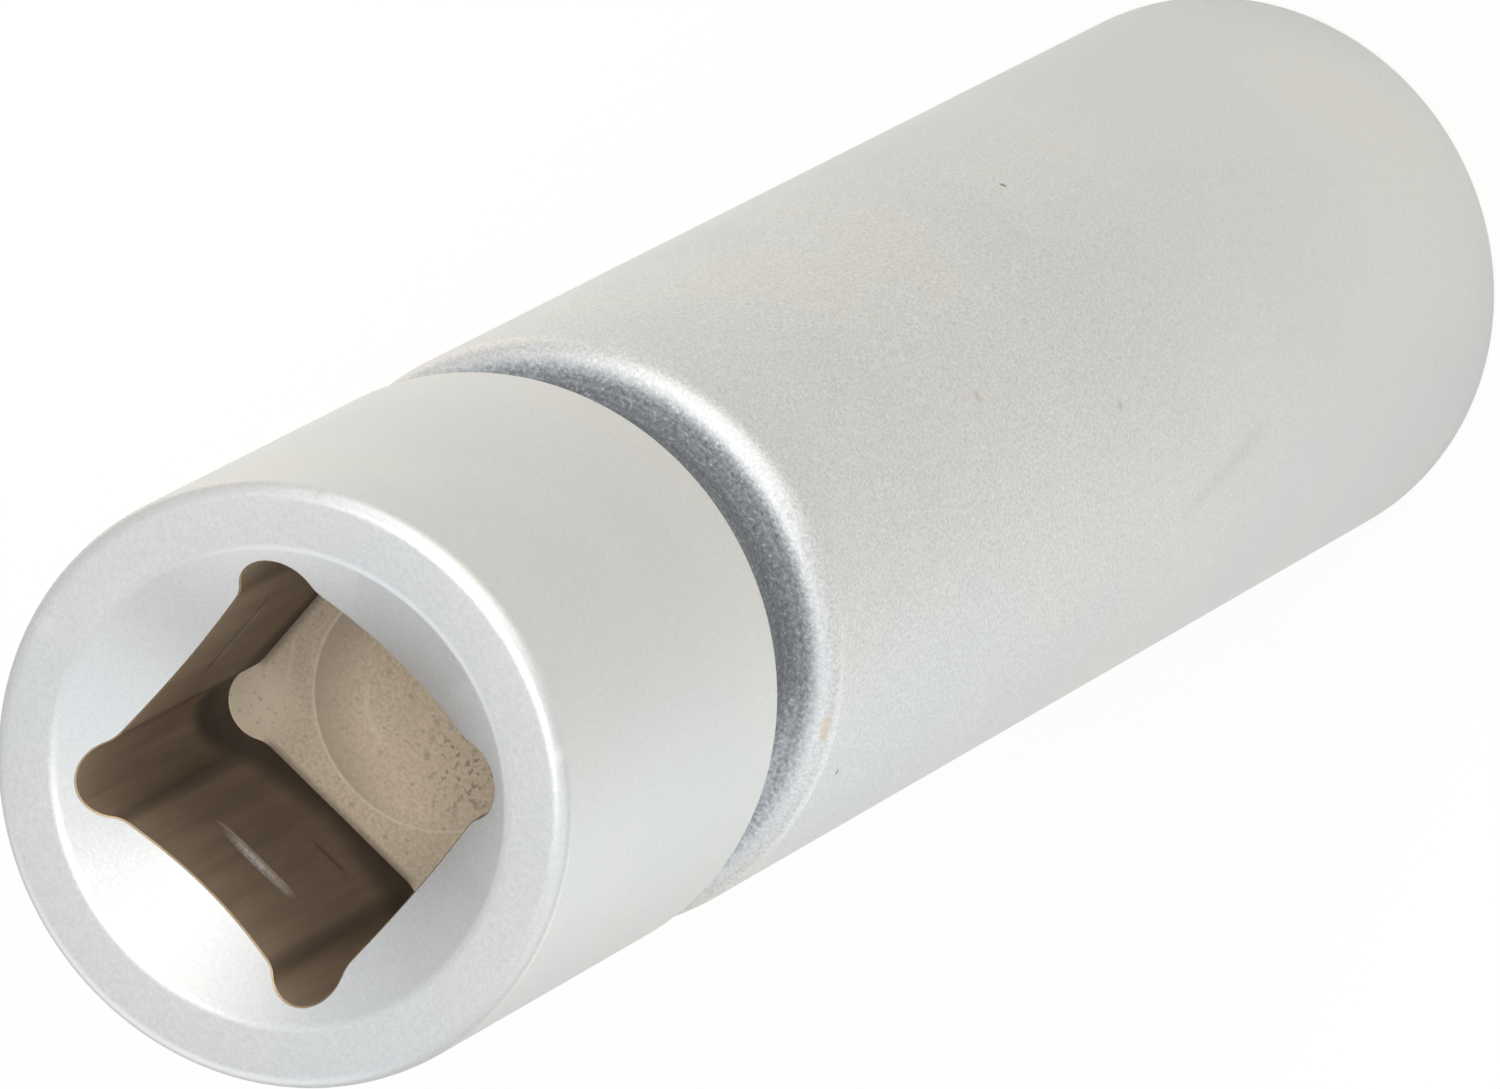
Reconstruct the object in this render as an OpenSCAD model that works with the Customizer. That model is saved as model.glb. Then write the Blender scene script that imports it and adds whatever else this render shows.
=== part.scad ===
// Spark plug socket: a deep hexagon socket with a square drive and a rubber sleeve that grips the plug.
// It stands on its open end with the drive end up. Sizes are in millimetres.

/* [Body] */
// Length from the open end to the drive face
length = 79.3; // [75:0.1:95]
// Outer diameter of the body
body_d = 18.4; // [17.9:0.1:20]
// Round on the outer edge of the open end
open_round = 0.3; // [0.1:0.05:0.4]

/* [Drive end] */
// Outer diameter of the drive end
drive_d = 18.3; // [17.5:0.1:20]
// Length of the drive end, from its face to the groove
drive_len = 16.6; // [14:0.1:19]
// Round on the outer edge of the drive face
drive_round = 0.5; // [0.2:0.1:0.8]

/* [Groove] */
// Width of the turned groove between the drive end and the body
groove_w = 4.4; // [3:0.1:6]
// Depth of the groove below the body
groove_depth = 1.45; // [1.2:0.05:2]
// Round lip where the groove's far wall meets the body
lip_round = 1; // [0.4:0.1:1.2]
// Hollow round at the foot of the groove's far wall
foot_round = 0.4; // [0.1:0.05:0.6]

/* [Square drive] */
// Width across the flats of the square
square_w = 9.6; // [9.4:0.05:10]
// Depth of the square below the drive face
square_depth = 11.9; // [11:0.1:14]
// Radius of the round relief in each corner
relief_r = 1.15; // [0.9:0.05:1.5]
// How far each relief stops short of the square's sharp corner
relief_inset = 0.1; // [0:0.05:0.25]
// Round where each relief runs out into a flat
relief_blend = 1; // [0.3:0.1:1.5]
// How far the countersink's rim lies outside the reliefs
sink_margin = 0.55; // [0.2:0.05:0.8]
// Angle between the countersink's cone and the axis
sink_angle = 54; // [45:1:62]
// Depth of the detent groove's middle below the drive face
detent_z = 5.5; // [4.5:0.1:7]
// Depth of the detent groove in the middle of a flat
detent_depth = 0.3; // [0.2:0.05:0.6]
// Width of the detent groove in the middle of a flat
detent_w = 0.7; // [0.6:0.1:2.4]
// Distance from the flats to the rim of the dished floor
dish_margin = 0.9; // [0.4:0.05:1.5]
// Depth of the dish in the middle of the floor
dish_depth = 0.35; // [0.15:0.05:0.6]

/* [Plug end] */
// Width across the flats of the plug's hexagon
plug_hex = 14; // [13.4:0.1:14.3]
// Clearance across the flats between plug and socket
hex_clearance = 0.15; // [0.05:0.05:0.3]
// Diameter across the hexagon's rounded corners
hex_corner_d = 15.9; // [15.2:0.1:16]
// Depth of the hexagon
hex_depth = 16; // [12:0.5:22]
// How far the lead-in reaches outside the hexagon's corners
lead_w = 0.25; // [0.1:0.05:0.4]
// Angle between the lead-in's cone and the axis
lead_angle = 45; // [30:1:60]

/* [Bore] */
// Diameter of the bore that holds the sleeve
sleeve_bore_d = 13.4; // [12.6:0.1:13.8]
// Thickness of the web between the square and the bores
web = 6; // [4:0.5:9]
// Length of the narrow bore above the sleeve
terminal_len = 9.9; // [6:0.1:14]
// Clearance round the plug's insulator in the narrow bore
terminal_clearance = 0.25; // [0.1:0.05:0.5]

/* [Rubber sleeve] */
// Length of the sleeve
sleeve_len = 16; // [10:0.5:20]
// Clearance between the sleeve and its bore
sleeve_clearance = 0.05; // [0.02:0.01:0.1]
// Diameter of the plug's insulator
insulator_d = 10; // [9:0.1:10.5]
// How much smaller than the insulator the sleeve's hole is, across its diameter
sleeve_grip = 0.3; // [0.1:0.05:0.6]
// Width of the sleeve's lead-in at its mouth
sleeve_lead = 0.8; // [0.3:0.1:1.2]

/* [Hidden] */
$fn = 96;
// Overlap that carries a cut past the face it opens
past = 1;

body_r = body_d / 2;
drive_r = drive_d / 2;

groove_top = length - drive_len;
lip_z = groove_top - groove_w;
groove_r = body_r - groove_depth;
// The foot's hollow gives way to the lip where the wall is too low for both
foot_r = min(foot_round, groove_depth - lip_round);

relief_tip = square_w / sqrt(2) - relief_inset;
// Middle of a relief, in both directions from the axis
relief_c = (relief_tip - relief_r) / sqrt(2);
// Middle of the round between a flat and a relief
blend_x = square_w / 2 + relief_blend;
blend_y = relief_c - sqrt(pow(relief_r + relief_blend, 2) - pow(blend_x - relief_c, 2));
sink_r = relief_tip + sink_margin;
sink_h = sink_r / tan(sink_angle);
square_floor = length - square_depth;
// Radius of the detent groove's round section, from its chord in the flat and its depth
detent_r = (pow(detent_w / 2, 2) + pow(detent_depth, 2)) / (2 * detent_depth);
detent_ring_r = square_w / 2 + detent_depth - detent_r;
dish_r = square_w / 2 - dish_margin;
dish_sphere_r = (pow(dish_r, 2) + pow(dish_depth, 2)) / (2 * dish_depth);

hex_w = plug_hex + hex_clearance;
lead_r = hex_corner_d / 2 + lead_w;
lead_h = lead_r / tan(lead_angle);
terminal_top = square_floor - web;
shoulder_z = terminal_top - terminal_len;
terminal_d = insulator_d + 2 * terminal_clearance;

sleeve_r = sleeve_bore_d / 2 - sleeve_clearance;
sleeve_hole_r = (insulator_d - sleeve_grip) / 2;
// Radius of the sleeve's mouth, where its lead-in cone starts
sleeve_mouth_r = sleeve_hole_r + sleeve_lead;
sleeve_bottom = shoulder_z - sleeve_len;

// What comes off an outer corner at the origin, to leave a round of radius r towards -X and -Y
module corner_waste(r) {
    difference() {
        translate([-r, -r])
            square(r + past);
        translate([-r, -r])
            circle(r);
    }
}

// What fills an inner corner at the origin, to leave a hollow of radius r towards +X and +Y
module corner_fill(r) {
    difference() {
        translate([-past, -past])
            square(r + past);
        translate([r, r])
            circle(r);
    }
}

// Half section of the outside: body, groove and drive end
module outer_section() {
    difference() {
        square([body_r, lip_z]);
        translate([body_r, lip_z])
            corner_waste(lip_round);
        translate([body_r, 0])
            mirror([0, 1])
                corner_waste(open_round);
    }
    translate([0, lip_z - past])
        square([groove_r, groove_w + 2 * past]);
    translate([groove_r, lip_z])
        corner_fill(foot_r);
    difference() {
        translate([0, groove_top])
            square([drive_r, drive_len]);
        translate([drive_r, length])
            corner_waste(drive_round);
    }
}

// What the round between a flat and a relief takes off the corner where they meet
module run_out() {
    difference() {
        polygon([[square_w / 2, blend_y], [blend_x, blend_y], [relief_c, relief_c]]);
        translate([blend_x, blend_y])
            circle(relief_blend);
    }
}

// Outline of the square, with a round relief in place of each sharp corner
module square_outline() {
    intersection() {
        square(square_w, center = true);
        rotate(45)
            square(2 * relief_tip - relief_r, center = true);
    }
    for (turn = [0 : 90 : 270])
        rotate(turn) {
            translate([relief_c, relief_c])
                circle(relief_r);
            run_out();
            mirror([1, -1])
                run_out();
        }
}

// Everything that is cut into the drive end
module drive_recess() {
    translate([0, 0, square_floor])
        linear_extrude(square_depth + past)
            square_outline();
    translate([0, 0, length - sink_h])
        cylinder(h = sink_h + past, r1 = 0, r2 = sink_r + past * tan(sink_angle));
    translate([0, 0, length - detent_z])
        rotate_extrude()
            translate([detent_ring_r, 0])
                circle(detent_r);
    translate([0, 0, square_floor])
        intersection() {
            translate([0, 0, -dish_depth - past])
                cylinder(h = dish_depth + 2 * past, r = dish_r);
            translate([0, 0, dish_sphere_r - dish_depth])
                sphere(dish_sphere_r);
        }
}

// Everything that is cut into the plug end
module plug_cavity() {
    translate([0, 0, -past])
        linear_extrude(hex_depth + past)
            intersection() {
                circle(d = hex_w / cos(30), $fn = 6);
                circle(d = hex_corner_d);
            }
    translate([0, 0, -past])
        cylinder(h = lead_h + past, r1 = lead_r + past * tan(lead_angle), r2 = 0);
    cylinder(h = shoulder_z, d = sleeve_bore_d);
    cylinder(h = terminal_top, d = terminal_d);
}

// The socket: one turned and broached piece
module socket_body() {
    color("#c8c8c4")
        difference() {
            rotate_extrude()
                outer_section();
            drive_recess();
            plug_cavity();
        }
}

// The sleeve that grips the plug's insulator, seated against the bore's shoulder
module rubber_insert() {
    color("#2a2a2b")
        difference() {
            translate([0, 0, sleeve_bottom])
                cylinder(h = sleeve_len, r = sleeve_r);
            translate([0, 0, sleeve_bottom - past])
                cylinder(h = sleeve_len + 2 * past, r = sleeve_hole_r);
            translate([0, 0, sleeve_bottom - past])
                cylinder(h = sleeve_mouth_r + past, r1 = sleeve_mouth_r + past, r2 = 0);
        }
}

socket_body();
rubber_insert();
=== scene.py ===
"""Spark plug socket: satin chrome steel with a bare square drive recess and a rubber sleeve."""
import math

import bpy
from mathutils import Matrix, Vector


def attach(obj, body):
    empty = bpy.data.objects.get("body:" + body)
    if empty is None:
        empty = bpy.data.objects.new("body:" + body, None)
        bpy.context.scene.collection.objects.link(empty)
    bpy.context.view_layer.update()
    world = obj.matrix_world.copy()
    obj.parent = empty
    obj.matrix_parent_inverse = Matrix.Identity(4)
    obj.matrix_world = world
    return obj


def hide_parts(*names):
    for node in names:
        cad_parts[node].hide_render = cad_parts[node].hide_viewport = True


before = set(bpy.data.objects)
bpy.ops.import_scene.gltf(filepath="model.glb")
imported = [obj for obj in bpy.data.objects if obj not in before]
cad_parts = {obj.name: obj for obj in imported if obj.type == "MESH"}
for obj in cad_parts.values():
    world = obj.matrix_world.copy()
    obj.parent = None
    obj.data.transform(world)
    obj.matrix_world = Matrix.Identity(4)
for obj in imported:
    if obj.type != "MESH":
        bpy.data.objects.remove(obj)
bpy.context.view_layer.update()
scene = bpy.context.scene

MM = 0.001

# Turned outside of the socket, in millimetres from the open end
LENGTH = 79.3
BODY_R = 9.2
OPEN_ROUND = 0.3
DRIVE_R = 9.15
DRIVE_ROUND = 0.5
GROOVE_TOP = 62.7
GROOVE_EDGE_ROUND = 0.08
LIP_Z = 58.3
LIP_ROUND = 1.0
GROOVE_R = 7.75
FOOT_ROUND = 0.4

# Square drive recess
SINK_R = 7.238
SINK_ANGLE = 54
SINK_SLOPE = 1 / math.tan(math.radians(SINK_ANGLE))
SINK_EDGE_ROUND = 0.6
SQUARE_HALF = 4.8
SQUARE_FLOOR = 67.4
RELIEF_R = 1.15
RELIEF_TIP = 6.688
RELIEF_BLEND = 1.0
DETENT_Z = 73.8
DETENT_R = 0.3542
DETENT_RING_R = 4.7458
DISH_R = 3.9
DISH_DEPTH = 0.35
MOUTH_EDGE = 0.1

# Plug end and the bores behind it
HEX_HALF = 7.075
HEX_CORNER_R = 7.95
HEX_DEPTH = 16.0
LEAD_R = 8.2
BORE_R = 6.7
SHOULDER_Z = 51.5
TERMINAL_R = 5.25
TERMINAL_TOP = 61.4

# Rubber sleeve
SLEEVE_R = 6.65
SLEEVE_HOLE_R = 4.85
SLEEVE_BOTTOM = 35.5
SLEEVE_LEAD = 0.8
SLEEVE_ROUND = 0.25

# How finely the pieces are made, and how far a cutter reaches past the face it opens
TURNS = 192
DETENT_TURNS = 240
DETENT_SIDES = 40
BROACH_PAST = 2
DISH_PAST = 1

# Distances in millimetres within which points become one
TRACE_MERGE = 0.0005
SPIN_MERGE = 0.001
CUT_MERGE = 0.01
MOUTH_MERGE = 0.05
BEVEL_MERGE = 0.002

# The socket's finishes, in the order of its material slots
PLATE, RECESS, BORE = range(3)

# Colours of the plating
SILVER_COOL = (0.61, 0.62, 0.62, 1)
SILVER_WARM = (0.64, 0.635, 0.62, 1)
SILVER_GLANCE = (0.78, 0.80, 0.82, 1)
# Painted shade: the groove's greys are darker than the plating and stand in for the shade in the
# groove
GROOVE_SHADE_GREY = (0.41, 0.428, 0.442, 1)
GROOVE_FOOT_SHADE = (0.29, 0.306, 0.318, 1)
GROOVE_HOLLOW_SHADE = (0.165, 0.173, 0.18, 1)
GROOVE_LOW_WALL_SHADE = (0.205, 0.216, 0.225, 1)
GROOVE_PAINTED_LIGHT = (0.58, 0.60, 0.615, 1)
GROOVE_SPARKLE = (0.70, 0.72, 0.735, 1)
STREAK_TAN = (0.60, 0.46, 0.27, 1)
DOT_DARK = (0.10, 0.09, 0.08, 1)
WORN_BROWN = (0.36, 0.30, 0.22, 1)
NICK_LIGHT = (0.76, 0.76, 0.76, 1)
SMUDGE_GREY = (0.42, 0.42, 0.42, 1)
BARE_EDGE_GLINT = (0.95, 0.74, 0.46, 1)

# Colours of the recess: its walls, then its floor
WALL_DARK = (0.165, 0.119, 0.077, 1)
WALL_LIGHT = (0.22, 0.160, 0.106, 1)
WALL_TOP = (0.30, 0.235, 0.165, 1)
WALL_RUN_OUT = (0.07, 0.05, 0.034, 1)
WALL_FOOT_SHADE = (0.042, 0.028, 0.018, 1)
WALL_CORNER_SHADE = (0.028, 0.02, 0.014, 1)
WALL_GLINT = (0.45, 0.43, 0.40, 1)
WALL_SHADOW = (0.085, 0.062, 0.041, 1)
WALL_SCRATCH = (0.06, 0.035, 0.024, 1)
TAN_DARK = (0.66, 0.54, 0.40, 1)
TAN_LIGHT = (0.80, 0.672, 0.515, 1)
TAN_PAINTED_LIGHT = (0.98, 0.84, 0.65, 1)
TAN_SPECK = (0.34, 0.265, 0.185, 1)
TAN_SHADE = (0.46, 0.37, 0.27, 1)
TURNING_MARK = (0.90, 0.80, 0.66, 1)
PIT_BROWN = (0.25, 0.20, 0.145, 1)
TAN_FOOT_SHADE = (0.10, 0.075, 0.05, 1)

# Colours of the plug end, the rubber and the studio's floor
BORE_PLATE_DARK = (0.56, 0.56, 0.55, 1)
BORE_PLATE_LIGHT = (0.63, 0.63, 0.62, 1)
BORE_STEEL_DARK = (0.27, 0.245, 0.21, 1)
BORE_STEEL_LIGHT = (0.36, 0.33, 0.29, 1)
RUBBER_BLACK = (0.022, 0.022, 0.024, 1)
RUBBER_GRAIN = (0.036, 0.036, 0.038, 1)
RUBBER_RUBBED = (0.06, 0.058, 0.055, 1)
STUDIO_WHITE = (0.70, 0.675, 0.625, 1)

# Marks on the plating: the place of each in millimetres, where it is full and where it ends
TAN_STREAK = (
    ((8.13, 3.86, 57.9), 0.06, 0.20),
    ((8.02, 4.09, 57.9), 0.08, 0.22),
    ((7.90, 4.32, 57.9), 0.06, 0.20),
)
DARK_DOTS = (
    ((8.87, 2.44, 55.88), 0.05, 0.15),
    ((-3.19, 8.63, 28.69), 0.05, 0.17),
)
BROWN_MARKS = (
    ((2.65, 8.81, 42.59), 0.08, 0.30),
    ((4.77, 7.87, 33.0), 0.08, 0.28),
    ((-4.74, 7.53, 79.1), 0.05, 0.24),
)
RIGHT_NICK = ((5.65, 7.01, 79.15), 0.05, 0.32)
LEFT_NICK = ((-8.42, -1.60, 79.3), 0.05, 0.55)

# Marks in the recess, in the same way
# Painted shade in a corner of the left lobe
CORNER_SHADE_SPOT = ((-4.72, -4.62, 69.2), 0.1, 1.3)
DETENT_GLINT = ((0.5, -5.0, 73.7), 0.7, 2.3)
SCRATCH_Z = 70.05
SCRATCH = ((1.05, -4.8, SCRATCH_Z), 0.4, 0.9)
# Painted light on the floor of the left corner lobe
LOBE_PAINTED_LIGHT = ((-4.5, -4.2, SQUARE_FLOOR), 0.6, 2.2)
TURNING_ARC = ((-1.36, -1.88, 67.15), 0.4, 1.3)
LOBE_ARC = ((-4.17, -2.32, SQUARE_FLOOR), 0.3, 1.0)
PITTED_STAIN = ((1.95, -0.75, 67.15), 0.7, 2.0)
# How far from the middle of a flat it runs out into the relief
FLAT_END = 3.15

# Lamps, in metres: name, place, size, watts, colour
SOFT_LAMPS = (
    ("key", (-0.145, 0.585, 0.21), 0.8, 1.5, (1.0, 0.975, 0.93)),
    ("front", (0.0, 0.28, 0.92), 0.6, 3.0, (1.0, 0.985, 0.96)),
    ("left", (-0.38, 0.28, 0.42), 0.26, 0.085, (1.0, 0.99, 0.97)),
    ("side", (0.62, 0.10, 0.36), 0.9, 0.75, (0.92, 0.97, 1.0)),
    ("back", (0.05, -0.75, 0.22), 0.9, 1.15, (0.95, 0.98, 1.0)),
)
LAMP_AIM = (0, 0, 0.05)
# Spots on the floor beside the socket, which its side mirrors: name, place, aim, watts, colour
FLOOR_SPOTS = (
    ("right_of_it", (0.38, -0.02, 0.52), (0.10, -0.005, 0), 24.5, (0.80, 0.91, 1.0)),
    ("left_of_it", (-0.38, -0.02, 0.52), (-0.10, -0.005, 0), 20.0, (1.0, 0.977, 0.93)),
    ("before_it", (-0.10, 0.80, 0.50), (-0.04, 0.29, 0), 30.0, (1.0, 0.98, 0.885)),
)
SPOT_ANGLE = 15
SPOT_SIZE = 0.03
SKY_COLOUR = (0.972, 0.982, 1.0, 1)
SKY_STRENGTH = 0.925
FLOOR_SIZE = 8.0

# Camera: where it stands, where it looks, and which way is right in the picture
CAMERA_PLACE = (0.094223, 0.274299, 0.664024)
CAMERA_LOOK = Vector((-0.136955, -0.400083, -0.906188))
CAMERA_RIGHT = Vector((0.708145, 0.600133, -0.371983))
CAMERA_LENS = 533.8


def arc(middle, radius, start, end, steps):
    """Points along an arc, its angles in degrees."""
    points = []
    for i in range(steps + 1):
        angle = math.radians(start + (end - start) * i / steps)
        points.append((middle[0] + radius * math.cos(angle), middle[1] + radius * math.sin(angle)))
    return points


def straight(start, end, steps):
    """Points along a straight line."""
    return [
        (start[0] + (end[0] - start[0]) * i / steps, start[1] + (end[1] - start[1]) * i / steps)
        for i in range(steps + 1)
    ]


def select_only(piece):
    bpy.ops.object.select_all(action="DESELECT")
    piece.select_set(True)
    bpy.context.view_layer.objects.active = piece


def merge_points(distance):
    """Make the selected points one where they lie within a distance in millimetres."""
    bpy.ops.mesh.remove_doubles(threshold=distance * MM)


def traced(name, points):
    """A line of edges through the points (metres), left open in edit mode."""
    points = [p for i, p in enumerate(points) if i == 0 or math.dist(p, points[i - 1]) > 1e-9]
    bpy.ops.object.select_all(action="DESELECT")
    bpy.ops.mesh.primitive_plane_add(size=MM, location=(0, 0, 0))
    made = bpy.context.object
    made.name = name
    made.data.name = name
    bpy.ops.object.mode_set(mode="EDIT")
    bpy.ops.mesh.select_mode(type="VERT")
    bpy.ops.mesh.select_all(action="SELECT")
    bpy.ops.mesh.merge(type="CENTER")
    bpy.ops.transform.translate(value=points[0])
    for here, there in zip(points, points[1:]):
        bpy.ops.mesh.extrude_region_move(
            TRANSFORM_OT_translate={"value": Vector(there) - Vector(here)}
        )
    bpy.ops.mesh.select_all(action="SELECT")
    merge_points(TRACE_MERGE)
    return made


def turned(name, profile):
    """A solid turned about the socket's axis from a profile of (radius, height)."""
    made = traced(name, [(r * MM, 0, z * MM) for r, z in profile])
    bpy.ops.mesh.select_all(action="SELECT")
    bpy.ops.mesh.spin(steps=TURNS, angle=2 * math.pi, center=(0, 0, 0), axis=(0, 0, 1))
    bpy.ops.mesh.select_all(action="SELECT")
    merge_points(SPIN_MERGE)
    bpy.ops.mesh.normals_make_consistent(inside=False)
    bpy.ops.object.mode_set(mode="OBJECT")
    return made


def broach(name, outline, low, high):
    """A straight cutter with the outline (x, y), from one height to another."""
    made = traced(name, [(x * MM, y * MM, low * MM) for x, y in outline + outline[:1]])
    bpy.ops.mesh.edge_face_add()
    bpy.ops.mesh.extrude_region_move(
        TRANSFORM_OT_translate={"value": (0, 0, (high - low) * MM)}
    )
    bpy.ops.mesh.select_all(action="SELECT")
    bpy.ops.mesh.normals_make_consistent(inside=False)
    bpy.ops.object.mode_set(mode="OBJECT")
    return made


def cut(piece, cutter):
    """Cut the cutter's shape out of the piece and throw the cutter away."""
    select_only(piece)
    change = piece.modifiers.new("cut", "BOOLEAN")
    change.operation = "DIFFERENCE"
    change.solver = "EXACT"
    change.object = cutter
    bpy.ops.object.modifier_apply(modifier=change.name)
    bpy.data.objects.remove(cutter)


def square_outline():
    """Outline of the square recess: four flats, each running out into round corner reliefs."""
    relief = (RELIEF_TIP - RELIEF_R) / math.sqrt(2)
    blend_x = SQUARE_HALF + RELIEF_BLEND
    blend_y = relief - math.sqrt((RELIEF_R + RELIEF_BLEND) ** 2 - (blend_x - relief) ** 2)
    meet = math.degrees(math.atan2(relief - blend_y, relief - blend_x))
    quarter = straight((SQUARE_HALF, -blend_y), (SQUARE_HALF, blend_y), steps=24)
    quarter += arc((blend_x, blend_y), RELIEF_BLEND, 180, meet, steps=6)
    quarter += arc((relief, relief), RELIEF_R, meet - 180, 270 - meet, steps=24)
    quarter += arc((blend_y, blend_x), RELIEF_BLEND, 90 - meet, -90, steps=6)
    outline = []
    for cosine, sine in ((1, 0), (0, 1), (-1, 0), (0, -1)):
        outline += [(cosine * x - sine * y, sine * x + cosine * y) for x, y in quarter[:-1]]
    return outline


def hexagon_outline():
    """Outline of the plug's hexagon: six flats, joined by arcs in the corners."""
    reach = math.degrees(math.acos(HEX_HALF / HEX_CORNER_R))
    outline = []
    for flat in range(30, 390, 60):
        outline += arc((0, 0), HEX_CORNER_R, flat - 60 + reach, flat - reach, steps=4)
    return outline


def dish_profile():
    """Half section of the cutter for the dish in the recess's floor."""
    sphere_r = (DISH_R ** 2 + DISH_DEPTH ** 2) / (2 * DISH_DEPTH)
    half = math.degrees(math.asin(DISH_R / sphere_r))
    sphere_middle = (0, SQUARE_FLOOR - DISH_DEPTH + sphere_r)
    bowl = arc(sphere_middle, sphere_r, -90, half - 90, steps=10)
    return bowl + [(DISH_R, SQUARE_FLOOR + DISH_PAST), (0, SQUARE_FLOOR + DISH_PAST)]


def body_profile():
    """Half section of the socket before the square and the hexagon are cut."""
    profile = [(0, TERMINAL_TOP), (TERMINAL_R, TERMINAL_TOP), (TERMINAL_R, SHOULDER_Z)]
    profile += straight((BORE_R, SHOULDER_Z), (BORE_R, LEAD_R - BORE_R), steps=6)
    profile += [(LEAD_R, 0)]
    profile += arc((BODY_R - OPEN_ROUND, OPEN_ROUND), OPEN_ROUND, -90, 0, steps=6)
    profile += straight((BODY_R, OPEN_ROUND), (BODY_R, LIP_Z - LIP_ROUND), steps=9)
    profile += arc((BODY_R - LIP_ROUND, LIP_Z - LIP_ROUND), LIP_ROUND, 0, 90, steps=14)
    profile += arc((GROOVE_R + FOOT_ROUND, LIP_Z + FOOT_ROUND), FOOT_ROUND, -90, -180, steps=8)
    profile += [(GROOVE_R, GROOVE_TOP)]
    edge = GROOVE_EDGE_ROUND
    profile += arc((DRIVE_R - edge, GROOVE_TOP + edge), edge, -90, 0, steps=6)
    profile += straight((DRIVE_R, GROOVE_TOP + edge), (DRIVE_R, LENGTH - DRIVE_ROUND), steps=3)
    profile += arc((DRIVE_R - DRIVE_ROUND, LENGTH - DRIVE_ROUND), DRIVE_ROUND, 0, 90, steps=10)
    turn = 90 - SINK_ANGLE
    sink_edge = SINK_R + SINK_EDGE_ROUND * math.tan(math.radians(turn / 2))
    profile += arc((sink_edge, LENGTH - SINK_EDGE_ROUND), SINK_EDGE_ROUND, 90, 90 + turn, steps=6)
    profile += [(0, LENGTH - SINK_R * SINK_SLOPE)]
    return profile


def cone_height(radius):
    """Height of the countersink at a radius, which may be a wire."""
    return LENGTH - (SINK_R - radius) * SINK_SLOPE


def on_mouth(point):
    """True on the edge where the countersink meets the recess."""
    radius = math.hypot(point.x, point.y) / MM
    return radius < SINK_R - 0.3 and abs(point.z / MM - cone_height(radius)) < CUT_MERGE


def soften_mouth(piece):
    """Break the sharp edge of the recess all round, as a file does."""
    mesh = piece.data
    select_only(piece)
    bpy.context.tool_settings.mesh_select_mode = (True, False, False)
    bpy.ops.object.mode_set(mode="EDIT")
    bpy.ops.mesh.select_all(action="SELECT")
    merge_points(CUT_MERGE)
    bpy.ops.mesh.select_all(action="DESELECT")
    bpy.ops.object.mode_set(mode="OBJECT")
    for vertex in mesh.vertices:
        vertex.select = on_mouth(vertex.co)
    bpy.ops.object.mode_set(mode="EDIT")
    merge_points(MOUTH_MERGE)
    bpy.ops.mesh.select_all(action="DESELECT")
    bpy.ops.object.mode_set(mode="OBJECT")
    bpy.context.tool_settings.mesh_select_mode = (False, True, False)
    for edge in mesh.edges:
        edge.select = all(on_mouth(mesh.vertices[i].co) for i in edge.vertices)
    bpy.ops.object.mode_set(mode="EDIT")
    bpy.ops.mesh.bevel(offset=MOUTH_EDGE * MM, segments=1, affect="EDGES", clamp_overlap=True)
    bpy.ops.mesh.select_all(action="SELECT")
    merge_points(BEVEL_MERGE)
    bpy.ops.mesh.normals_make_consistent(inside=False)
    bpy.ops.mesh.select_all(action="DESELECT")
    bpy.ops.object.mode_set(mode="OBJECT")


def smooth_finish(piece, angle):
    """Smooth shading that leaves real edges crisp and flat faces flat."""
    select_only(piece)
    bpy.ops.object.shade_smooth_by_angle(angle=math.radians(angle))
    change = piece.modifiers.new("flat_faces", "WEIGHTED_NORMAL")
    change.keep_sharp = True
    bpy.ops.object.modifier_apply(modifier=change.name)


def region_of(face):
    """Which of its finishes a face of the socket has."""
    radius = math.hypot(face.center.x, face.center.y) / MM
    height = face.center.z / MM
    if height > TERMINAL_TOP + 1:
        inside = radius < SINK_R - 0.1 and height < cone_height(radius) - MOUTH_EDGE
        return RECESS if inside else PLATE
    in_bores = radius < GROOVE_R - 0.5
    in_hexagon = height < HEX_DEPTH + 1 and radius < LEAD_R - 0.02
    return BORE if in_bores or in_hexagon else PLATE


def detent_cutter():
    """Ring that cuts the detent groove into the four flats."""
    bpy.ops.object.select_all(action="DESELECT")
    bpy.ops.mesh.primitive_torus_add(
        major_radius=DETENT_RING_R * MM,
        minor_radius=DETENT_R * MM,
        major_segments=DETENT_TURNS,
        minor_segments=DETENT_SIDES,
        location=(0, 0, DETENT_Z * MM),
    )
    return bpy.context.object


def make_socket(finishes):
    """The socket, turned to its half section and then broached from both ends."""
    socket = turned("plated_socket", body_profile())
    cut(socket, broach("square_broach", square_outline(), SQUARE_FLOOR, LENGTH + BROACH_PAST))
    cut(socket, detent_cutter())
    cut(socket, turned("dish_cutter", dish_profile()))
    cut(socket, broach("hexagon_broach", hexagon_outline(), -BROACH_PAST, HEX_DEPTH))
    soften_mouth(socket)
    socket.data.materials.clear()
    for finish in finishes:
        socket.data.materials.append(finish)
    for face in socket.data.polygons:
        face.material_index = region_of(face)
    smooth_finish(socket, angle=20)
    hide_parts("socket_body")
    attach(socket, "root")


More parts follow.
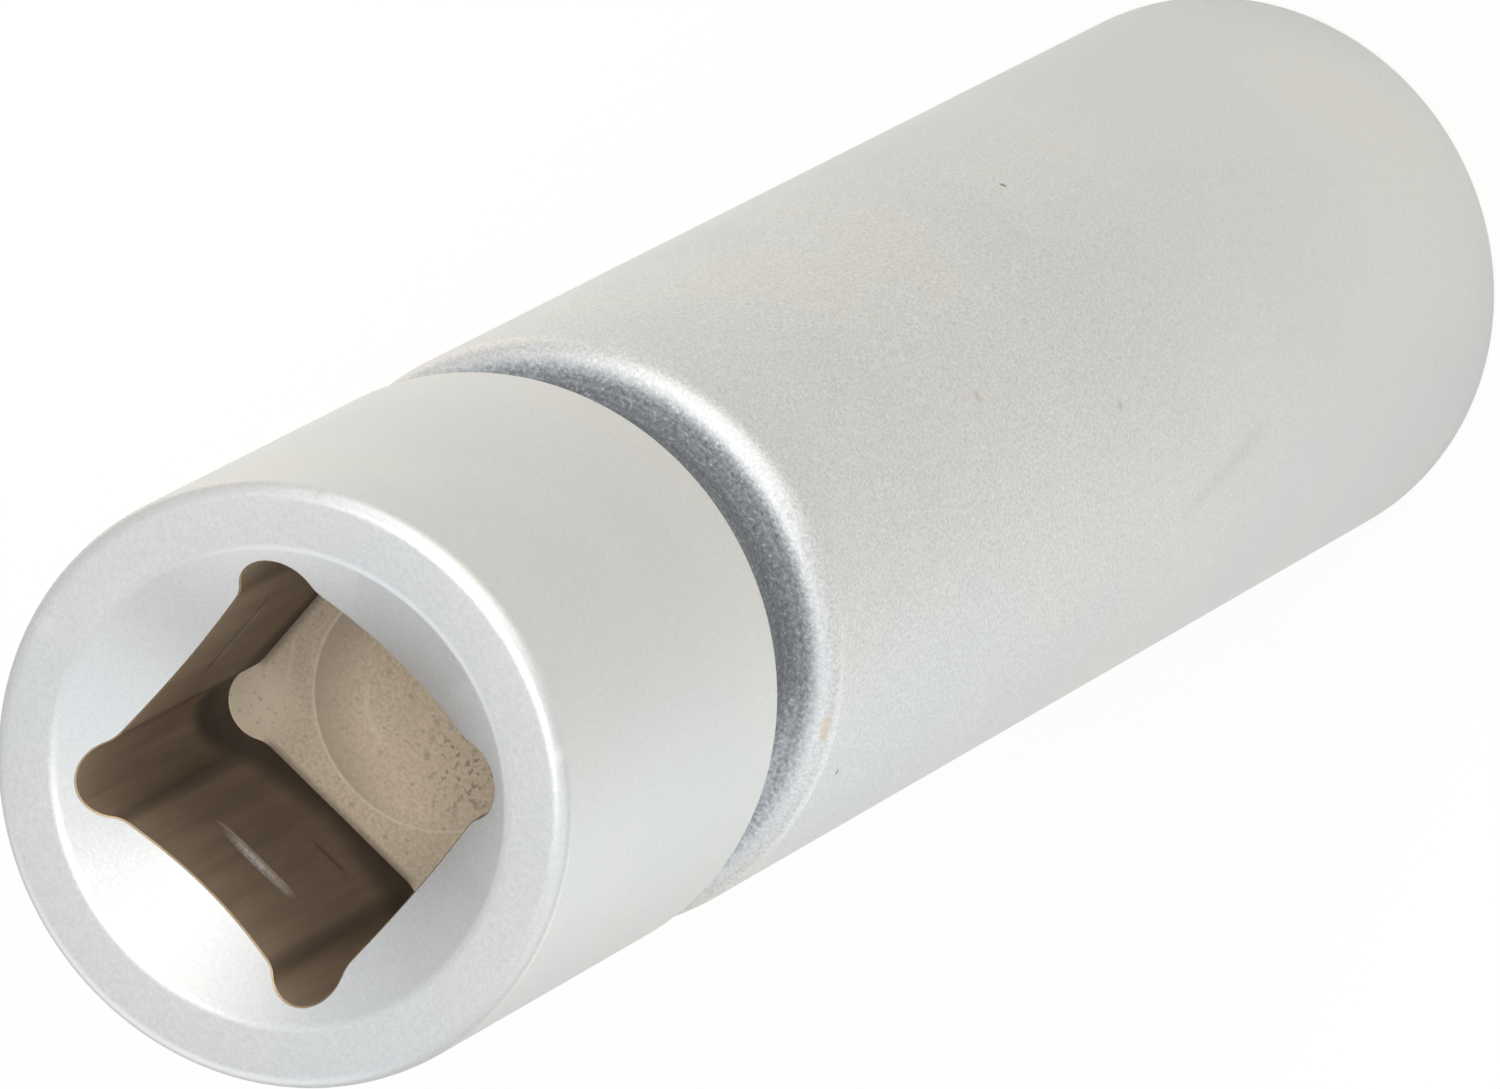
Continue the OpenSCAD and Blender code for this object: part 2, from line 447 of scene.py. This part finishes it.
def make_sleeve(finish):
    """Rubber sleeve with moulded round edges and a lead-in at its mouth."""
    low, high, edge = SLEEVE_BOTTOM, SHOULDER_Z, SLEEVE_ROUND
    outer, hole = SLEEVE_R - edge, SLEEVE_HOLE_R + edge
    lead = (SLEEVE_HOLE_R + SLEEVE_LEAD, low + SLEEVE_LEAD)
    profile = straight((SLEEVE_HOLE_R, high - edge), (SLEEVE_HOLE_R, low + SLEEVE_LEAD), steps=8)
    profile += arc(lead, SLEEVE_LEAD, 180, 270, steps=8)
    profile += arc((outer, low + edge), edge, -90, 0, steps=6)
    profile += straight((SLEEVE_R, low + edge), (SLEEVE_R, high - edge), steps=8)
    profile += arc((outer, high - edge), edge, 0, 90, steps=6)
    profile += arc((hole, high - edge), edge, 90, 180, steps=6)
    sleeve = turned("grip_sleeve", profile)
    sleeve.data.materials.clear()
    sleeve.data.materials.append(finish)
    smooth_finish(sleeve, angle=40)
    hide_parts("rubber_insert")
    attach(sleeve, "root")


class Wire:
    """A node socket. Python's operators on it add Math nodes, and node() adds any other node."""

    def __init__(self, tree, socket):
        self.tree = tree
        self.socket = socket

    def node(self, kind, settings=None, inputs=None, out=0):
        made = self.tree.nodes.new(kind)
        for name, value in (settings or {}).items():
            setattr(made, name, value)
        for name, value in (inputs or {}).items():
            if isinstance(value, Wire):
                self.tree.links.new(value.socket, made.inputs[name])
            else:
                made.inputs[name].default_value = value
        return Wire(self.tree, made.outputs[out])

    def math(self, operation, first, second=0.0):
        return self.node("ShaderNodeMath", {"operation": operation}, {0: first, 1: second})

    def __add__(self, other):
        return self.math("ADD", self, other)

    __radd__ = __add__

    def __sub__(self, other):
        return self.math("SUBTRACT", self, other)

    def __rsub__(self, other):
        return self.math("SUBTRACT", other, self)

    def __mul__(self, other):
        return self.math("MULTIPLY", self, other)

    __rmul__ = __mul__

    def __pow__(self, other):
        return self.math("POWER", self, other)

    def __abs__(self):
        return self.math("ABSOLUTE", self)

    def lower(self, other):
        return self.math("MINIMUM", self, other)

    def higher(self, other):
        return self.math("MAXIMUM", self, other)

    def step(self, low, high):
        """0 below low and 1 above high, smooth between; turned round where low is the larger."""
        return self.node(
            "ShaderNodeMapRange",
            {"interpolation_type": "SMOOTHSTEP"},
            {"Value": self, "From Min": low, "From Max": high},
        )

    def band(self, middle, half, soft):
        """1 within half of the middle, falling to 0 over the soft width."""
        return abs(self - middle).step(half + soft, half)


class Surface:
    """A new material with its shader, and the wires that every finish here starts from."""

    def __init__(self, name):
        self.material = bpy.data.materials.new(name)
        self.material.use_nodes = True
        self.tree = self.material.node_tree
        self.shader = self.tree.nodes["Principled BSDF"]
        self.start = Wire(self.tree, None)
        place = self.start.node("ShaderNodeTexCoord", out="Object")
        self.mm = self.start.node(
            "ShaderNodeVectorMath", {"operation": "SCALE"}, {0: place, "Scale": 1 / MM}
        )
        self.x = self.start.node("ShaderNodeSeparateXYZ", None, {0: self.mm}, out="X")
        self.y = self.start.node("ShaderNodeSeparateXYZ", None, {0: self.mm}, out="Y")
        self.z = self.start.node("ShaderNodeSeparateXYZ", None, {0: self.mm}, out="Z")
        self.r = (self.x * self.x + self.y * self.y) ** 0.5

    def noise(self, scale, detail=2.0, rough=0.5, stretch=None):
        """Noise with so many bumps to the millimetre; stretch scales it along the axes."""
        place = self.mm
        if stretch:
            place = self.start.node("ShaderNodeMapping", None, {0: place, "Scale": stretch})
        return self.start.node(
            "ShaderNodeTexNoise",
            None,
            {"Vector": place, "Scale": scale, "Detail": detail, "Roughness": rough},
        )

    def towards(self, x, y):
        """Millimetres from the axis in a level direction."""
        return self.x * x + self.y * y

    def near(self, place, inner, outer):
        """1 within inner of a place and 0 beyond outer, in millimetres."""
        gap = self.start.node(
            "ShaderNodeVectorMath", {"operation": "DISTANCE"}, {0: self.mm, 1: place}, out=1
        )
        return gap.step(outer, inner)

    def marks(self, spots):
        """1 on each of several spots."""
        mask = self.near(*spots[0])
        for spot in spots[1:]:
            mask = mask.higher(self.near(*spot))
        return mask

    def blend(self, mask, below, above):
        """Colour below where the mask is 0 and above where it is 1."""
        return self.start.node(
            "ShaderNodeMix", {"data_type": "RGBA"}, {0: mask, 6: below, 7: above}, out=2
        )

    def shaded(self, colour, tone):
        """Colour made lighter or darker by a factor."""
        return self.start.node(
            "ShaderNodeVectorMath", {"operation": "SCALE"}, {0: colour, "Scale": tone}
        )

    def feed(self, wire, name):
        self.tree.links.new(wire.socket, self.shader.inputs[name])

    def bump(self, height, depth):
        """Bump with a height of 0 to 1 and a depth in millimetres."""
        self.feed(
            self.start.node(
                "ShaderNodeBump", None, {"Strength": 1.0, "Distance": depth * MM, "Height": height}
            ),
            "Normal",
        )


def plate_finish():
    """Satin chrome over a blasted surface, coarser in the groove and darker there by painted
    shade.
    """
    plate = Surface("satin_chrome_plate")
    r, z = plate.r, plate.z
    grain = plate.noise(9.5, rough=0.6)
    coarse_grain = plate.noise(7.5, rough=0.6)
    cloud = plate.noise(0.09)
    in_groove = z.step(GROOVE_TOP + 0.04, GROOVE_TOP) * r.step(DRIVE_R - 0.03, DRIVE_R - 0.10)
    groove = z.step(LIP_Z - 0.22, LIP_Z + 0.01) * in_groove
    on_body = z.step(GROOVE_TOP + 0.05, GROOVE_TOP - 0.05)
    amount = 0.35 + z.step(6.0, 40.0) * on_body * 0.65

    silver = plate.blend(cloud.step(0.35, 0.65), SILVER_COOL, SILVER_WARM)
    # Painted light: the plating is made about 5 % lighter towards the open end
    open_end_painted_light = z.step(34.0, 8.0)
    silver = plate.shaded(silver, 1.0 + (grain - 0.5) * amount * 0.75 + open_end_painted_light * 0.055)

    # Painted shade in the groove, darkest at its foot, in the hollow and on the low wall
    foot = z.step(LIP_Z, LIP_Z + 0.10) * z.step(LIP_Z + 1.9, LIP_Z + 0.6) * in_groove
    rough = plate.blend(foot * 0.85, GROOVE_SHADE_GREY, GROOVE_FOOT_SHADE)
    hollow_shade = z.step(LIP_Z - 0.005, LIP_Z + 0.035) * z.step(LIP_Z + 0.32, LIP_Z + 0.18)
    rough = plate.blend(hollow_shade * 0.75, rough, GROOVE_HOLLOW_SHADE)
    low_wall_shade = z.step(LIP_Z + 0.40, LIP_Z + 0.75) * z.step(LIP_Z + 2.3, LIP_Z + 1.4)
    rough = plate.blend(low_wall_shade * 0.8, rough, GROOVE_LOW_WALL_SHADE)
    # Painted light on the side of the groove towards +x
    painted_light_side = plate.towards(0.94, -0.34).step(3.8, 7.5)
    rough = plate.blend(painted_light_side * 0.8, rough, GROOVE_PAINTED_LIGHT)
    rough = plate.shaded(rough, 1.0 + (coarse_grain - 0.5) * 1.5)
    rough = plate.blend(coarse_grain.step(0.60, 0.74) * 0.4, rough, GROOVE_SPARKLE)
    # The groove takes its painted shade in place of the silver
    colour = plate.blend(groove, silver, rough)

    streak = plate.marks(TAN_STREAK) * grain.step(0.30, 0.50)
    colour = plate.blend(streak * 0.55, colour, STREAK_TAN)
    colour = plate.blend(plate.marks(DARK_DOTS) * 0.75, colour, DOT_DARK)
    worn = plate.marks(BROWN_MARKS) * grain.step(0.35, 0.6)
    colour = plate.blend(worn * 0.5, colour, WORN_BROWN)
    light_nicks = (plate.near(*RIGHT_NICK) * 0.6).higher(plate.near(*LEFT_NICK) * 0.28)
    colour = plate.blend(light_nicks, colour, NICK_LIGHT)
    round_side = plate.towards(-0.588, 0.809) + (z - 21.2) * 0.22
    smudge = round_side.band(0.71, 0.02, 0.55) * z.band(24.7, 2.0, 2.2) * plate.x.step(5.0, 6.0)
    colour = plate.blend(smudge * 0.19, colour, SMUDGE_GREY)

    # Bare steel on the mouth's broken edge, its colour painted bright and warm as a painted
    # highlight along that edge
    below_cone = cone_height(r) - z
    bare_edge_glint = below_cone.step(0.006, 0.016) * r.step(7.1, 7.0) * z.step(70.0, 71.0)
    plate.feed(plate.blend(bare_edge_glint, colour, BARE_EDGE_GLINT), "Base Color")
    plate.shader.inputs["Metallic"].default_value = 1.0
    plate.shader.inputs["Specular Tint"].default_value = SILVER_GLANCE
    plate.feed(0.42 + groove * 0.2 + (grain - 0.5) * 0.16, "Roughness")
    plate.bump(grain * amount * (1.0 + groove * 0.5), 0.013)
    return plate.material


def recess_finish():
    """Bare broached steel: brown walls, dark at the foot by painted shade, and a tan floor with a
    dish.
    """
    bare = Surface("bare_recess_steel")
    x, y, z, r = bare.x, bare.y, bare.z, bare.r
    grain = bare.noise(8.0, detail=3.0, rough=0.6)
    specks = bare.noise(5.0)
    cluster = bare.noise(1.8)
    along = bare.noise(1.6, detail=3.0, rough=0.6, stretch=(1.0, 1.0, 0.06))
    off_flat = abs(x).lower(abs(y))
    across = abs(x).higher(abs(y))

    wall = bare.blend(along.step(0.3, 0.7), WALL_DARK, WALL_LIGHT)
    wall = bare.blend(z.step(LENGTH - 5.3, LENGTH - 1.3) * 0.12, wall, WALL_TOP)
    wall = bare.blend(off_flat.band(FLAT_END, 0.05, 0.4) * 0.55, wall, WALL_RUN_OUT)
    # Painted shade at the foot of the walls and in the corner of the left lobe
    wall_foot_shade = (z - off_flat * 0.35).step(SQUARE_FLOOR + 1.7, SQUARE_FLOOR)
    wall = bare.blend(wall_foot_shade * 0.94, wall, WALL_FOOT_SHADE)
    wall = bare.blend(bare.near(*CORNER_SHADE_SPOT) * 0.85, wall, WALL_CORNER_SHADE)
    in_detent = across.step(SQUARE_HALF + 0.04, SQUARE_HALF + 0.13) * z.band(DETENT_Z, 0.36, 0.05)
    glint = in_detent * bare.near(*DETENT_GLINT)
    wall = bare.blend(glint * (0.3 + grain.step(0.35, 0.7) * 0.6), wall, WALL_GLINT)
    left_detent = x.step(0.01 - SQUARE_HALF, -0.04 - SQUARE_HALF) * z.band(DETENT_Z, 0.38, 0.05)
    wall = bare.blend(left_detent * abs(y).step(2.6, 2.3) * 0.75, wall, WALL_SHADOW)
    # Painted light: the wall on the -x side is made 30 % lighter
    wall = bare.shaded(wall, 1.0 + x.step(0.4 - SQUARE_HALF, 0.1 - SQUARE_HALF) * 0.3)
    scratch = z.band(SCRATCH_Z, 0.05, 0.12) * bare.near(*SCRATCH)
    wall = bare.blend(scratch * along.step(0.4, 0.55) * 0.6, wall, WALL_SCRATCH)

    floor = bare.blend(grain.step(0.3, 0.7), TAN_DARK, TAN_LIGHT)
    # Painted light on the floor in the left corner lobe
    floor = bare.blend(bare.near(*LOBE_PAINTED_LIGHT) * (0.75 + grain * 0.4), floor, TAN_PAINTED_LIGHT)
    floor = bare.blend(specks.step(0.62, 0.70) * 0.38, floor, TAN_SPECK)
    dish_side = r.step(DISH_R + 0.02, DISH_R - 0.06) * r.step(2.2, 3.7)
    left_side = bare.towards(-0.763, -0.646).step(0.8, 3.2)
    floor = bare.blend(dish_side * left_side * 0.6, floor, TAN_SHADE)
    dish_rim = r.band(DISH_R + 0.03, 0.01, 0.07)
    floor = bare.blend(dish_rim * (0.25 + grain * 0.6), floor, TURNING_MARK)
    turning_arc = r.band(2.3, 0.04, 0.10) * bare.near(*TURNING_ARC)
    lobe_arc = r.band(4.77, 0.03, 0.09) * bare.near(*LOBE_ARC)
    floor = bare.blend((turning_arc + lobe_arc) * 0.38, floor, TURNING_MARK)
    stain = bare.near(*PITTED_STAIN) * cluster.step(0.32, 0.54)
    pits = specks.step(0.53, 0.60).higher(grain.step(0.58, 0.66))
    floor = bare.blend(stain * pits * 0.62, floor, PIT_BROWN)
    # Painted shade on the floor along the foot of the flats
    along_flat = off_flat.step(FLAT_END + 0.15, FLAT_END - 0.35)
    floor_foot_shade = across.step(SQUARE_HALF - 0.3, SQUARE_HALF) * along_flat
    floor = bare.blend(floor_foot_shade * 0.6, floor, TAN_FOOT_SHADE)

    on_floor = z.step(SQUARE_FLOOR + 0.06, SQUARE_FLOOR + 0.02)
    bare.feed(bare.blend(on_floor, wall, floor), "Base Color")
    bare.shader.inputs["Metallic"].default_value = 0.1
    bare.feed(0.60 + (grain - 0.5) * 0.15, "Roughness")
    bare.bump(grain * 0.6 + along * 0.4, 0.012)
    return bare.material


def bore_finish():
    """Plating that thins out inside the plug end and leaves grey steel."""
    bore = Surface("plug_bore_steel")
    grain = bore.noise(4.0, detail=3.0, rough=0.6)
    along = bore.noise(1.2, detail=3.0, rough=0.6, stretch=(1.0, 1.0, 0.08))
    deep = (bore.z + (along - 0.5) * 8.0).step(4.0, 20.0)
    plated = bore.blend(grain.step(0.35, 0.7), BORE_PLATE_DARK, BORE_PLATE_LIGHT)
    steel = bore.blend(along.step(0.3, 0.7), BORE_STEEL_DARK, BORE_STEEL_LIGHT)
    bore.feed(bore.blend(deep, plated, steel), "Base Color")
    bore.feed(1.0 - deep * 0.3, "Metallic")
    bore.feed(0.42 + deep * 0.1 + (grain - 0.5) * 0.14, "Roughness")
    bore.bump(grain * 0.4 + along * 0.6, 0.012)
    return bore.material


def rubber_finish():
    """Matt moulded rubber, greyer where it has been rubbed."""
    rubber = Surface("moulded_rubber")
    grain = rubber.noise(5.0, detail=3.0, rough=0.6)
    cloud = rubber.noise(0.5, detail=3.0, rough=0.6)
    black = rubber.blend(grain.step(0.3, 0.75), RUBBER_BLACK, RUBBER_GRAIN)
    rubber.feed(rubber.blend(cloud.step(0.5, 0.8) * 0.5, black, RUBBER_RUBBED), "Base Color")
    rubber.feed(0.62 + (grain - 0.5) * 0.2 + (cloud - 0.5) * 0.2, "Roughness")
    rubber.bump(grain, 0.02)
    return rubber.material


def floor_finish():
    """White floor: the camera and the metal see it white, and it keeps a soft shadow."""
    floor = Surface("white_floor")
    floor.shader.inputs["Base Color"].default_value = STUDIO_WHITE
    floor.shader.inputs["Roughness"].default_value = 0.9
    start = floor.start
    camera_ray = start.node("ShaderNodeLightPath", out="Is Camera Ray")
    glossy_ray = start.node("ShaderNodeLightPath", out="Is Glossy Ray")
    through_ray = start.node("ShaderNodeLightPath", out="Is Transmission Ray")
    share = camera_ray * 0.9 + glossy_ray * 0.25 + through_ray * 0.25
    glow = start.node("ShaderNodeEmission", None, {"Color": (1, 1, 1, 1), "Strength": 1.0})
    lit = Wire(floor.tree, floor.shader.outputs[0])
    mixed = start.node("ShaderNodeMixShader", None, {0: share, 1: lit, 2: glow})
    floor.tree.links.new(mixed.socket, floor.tree.nodes["Material Output"].inputs["Surface"])
    return floor.material


def make_floor():
    bpy.ops.object.select_all(action="DESELECT")
    bpy.ops.mesh.primitive_plane_add(size=FLOOR_SIZE, location=(0, 0, 0))
    floor = bpy.context.object
    floor.name = "floor"
    floor.data.materials.append(floor_finish())


def hang_lamp(name, kind, place, aim, watts, colour):
    """A lamp that the camera doesn't see, turned towards its aim."""
    data = bpy.data.lights.new(name, kind)
    data.energy = watts
    data.color = colour
    lamp = bpy.data.objects.new(name, data)
    scene.collection.objects.link(lamp)
    lamp.location = place
    lamp.rotation_euler = (Vector(aim) - Vector(place)).to_track_quat("-Z", "Y").to_euler()
    lamp.visible_camera = False
    return data


def make_light():
    world = bpy.data.worlds.new("studio")
    scene.world = world
    world.use_nodes = True
    sky = world.node_tree.nodes["Background"]
    sky.inputs["Color"].default_value = SKY_COLOUR
    sky.inputs["Strength"].default_value = SKY_STRENGTH
    for name, place, size, watts, colour in SOFT_LAMPS:
        disc = hang_lamp(name, "AREA", place, LAMP_AIM, watts, colour)
        disc.shape = "DISK"
        disc.size = size
    for name, place, aim, watts, colour in FLOOR_SPOTS:
        spot = hang_lamp(name, "SPOT", place, aim, watts, colour)
        spot.spot_size = math.radians(SPOT_ANGLE)
        spot.spot_blend = 1.0
        spot.shadow_soft_size = SPOT_SIZE


def make_camera():
    data = bpy.data.cameras.new("camera")
    data.sensor_fit = "HORIZONTAL"
    data.sensor_width = 36.0
    data.lens = CAMERA_LENS
    data.clip_start = 0.01
    camera = bpy.data.objects.new("camera", data)
    scene.collection.objects.link(camera)
    right = CAMERA_RIGHT.normalized()
    back = -CAMERA_LOOK.normalized()
    up = back.cross(right)
    turn = Matrix((right, up, back)).transposed().to_4x4()
    camera.matrix_world = Matrix.Translation(CAMERA_PLACE) @ turn
    scene.camera = camera


scene.view_settings.view_transform = "Standard"
make_camera()
make_socket([plate_finish(), recess_finish(), bore_finish()])
make_sleeve(rubber_finish())
make_floor()
make_light()
